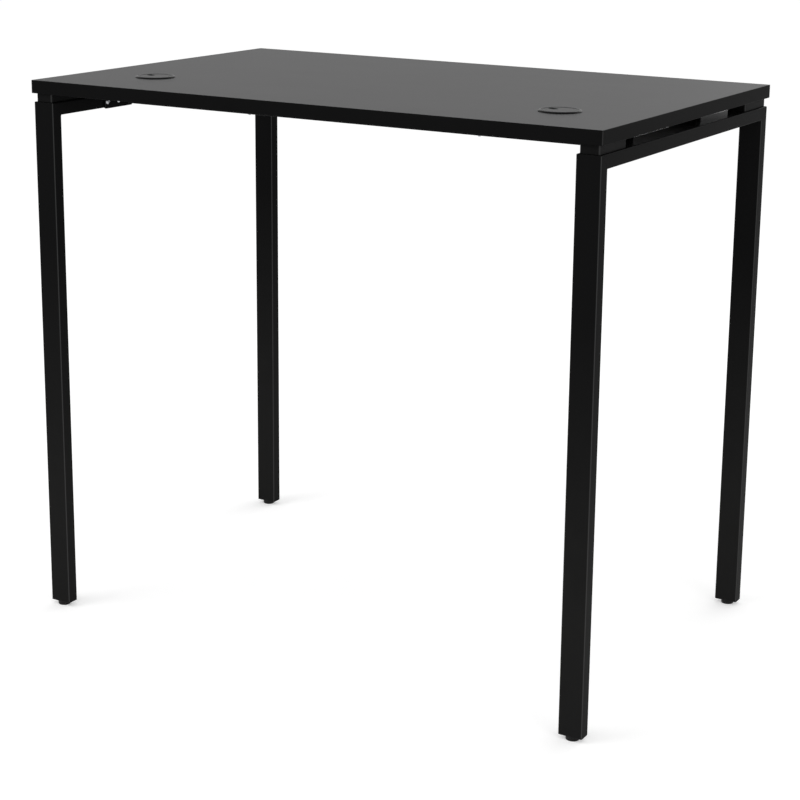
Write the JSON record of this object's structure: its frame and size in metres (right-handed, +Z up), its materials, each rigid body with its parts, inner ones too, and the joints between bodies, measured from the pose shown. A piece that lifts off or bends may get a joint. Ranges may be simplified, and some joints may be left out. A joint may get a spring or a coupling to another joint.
{
  "type": "standing desk",
  "caption": "Fixed-height standing desk: flat black laminate top with two round cable grommets on black end frames of rectangular steel tube, with a levelling foot under each leg.",
  "frame": {"origin": "on the floor under the middle of the top, with the feet screwed right in", "axes": "+X along the long edge, -Y towards the edge with the grommets, +Y towards the user, +Z up"},
  "size_m": [1.2, 0.762, 1.07],
  "materials": {
    "particleboard": "raw",
    "laminate": "fine texture, satin",
    "edge_band": "satin",
    "powder_coat": "semi-gloss",
    "spacer_plastic": "matte",
    "plug_plastic": "matte",
    "foot_nylon": "satin",
    "grommet_plastic": "satin",
    "zinc_steel": "bright zinc"
  },
  "bodies": {
    "desk": {"desktop_core": "particleboard", "top_laminate": "laminate", "bottom_laminate": "laminate", "rear_edge_band": "edge_band", "front_edge_band": "edge_band", "left_edge_band": "edge_band", "right_edge_band": "edge_band", "left_rear_leg": "powder_coat", "left_front_leg": "powder_coat", "left_top_rail": "powder_coat", "right_rear_leg": "powder_coat", "right_front_leg": "powder_coat", "right_top_rail": "powder_coat", "left_rear_spacer": "spacer_plastic", "left_front_spacer": "spacer_plastic", "right_rear_spacer": "spacer_plastic", "right_front_spacer": "spacer_plastic", "rear_crossbeam": "powder_coat", "front_crossbeam": "powder_coat", "left_rear_end_plate": "powder_coat", "left_front_end_plate": "powder_coat", "right_rear_end_plate": "powder_coat", "right_front_end_plate": "powder_coat", "left_rear_leg_plug": "plug_plastic", "left_front_leg_plug": "plug_plastic", "right_rear_leg_plug": "plug_plastic", "right_front_leg_plug": "plug_plastic", "left_grommet_sleeve": "grommet_plastic", "right_grommet_sleeve": "grommet_plastic", "rail_weld_nuts": "zinc_steel", "plate_bolts": "zinc_steel", "spacer_screws": "zinc_steel", "beam_screws": "zinc_steel"},
    "left_rear_foot": {"left_rear_foot_base": "foot_nylon", "left_rear_foot_stud": "zinc_steel"},
    "left_front_foot": {"left_front_foot_base": "foot_nylon", "left_front_foot_stud": "zinc_steel"},
    "right_rear_foot": {"right_rear_foot_base": "foot_nylon", "right_rear_foot_stud": "zinc_steel"},
    "right_front_foot": {"right_front_foot_base": "foot_nylon", "right_front_foot_stud": "zinc_steel"},
    "left_cap": {"left_grommet_cap": "grommet_plastic"},
    "right_cap": {"right_grommet_cap": "grommet_plastic"}
  },
  "joints": [
    {"name": "left_rear_foot_height", "type": "slide", "parent": "desk", "child": "left_rear_foot", "axis": [0, 0, -1], "range_m": [0, 0.015]},
    {"name": "left_front_foot_height", "type": "slide", "parent": "desk", "child": "left_front_foot", "axis": [0, 0, -1], "range_m": [0, 0.015]},
    {"name": "right_rear_foot_height", "type": "slide", "parent": "desk", "child": "right_rear_foot", "axis": [0, 0, -1], "range_m": [0, 0.015]},
    {"name": "right_front_foot_height", "type": "slide", "parent": "desk", "child": "right_front_foot", "axis": [0, 0, -1], "range_m": [0, 0.015]},
    {"name": "left_cap_turn", "type": "hinge", "parent": "desk", "child": "left_cap", "pos_m": [-0.437, -0.206, 1.068], "axis": [0, 0, 1], "continuous": true},
    {"name": "right_cap_turn", "type": "hinge", "parent": "desk", "child": "right_cap", "pos_m": [0.437, -0.206, 1.068], "axis": [0, 0, 1], "continuous": true}
  ]
}
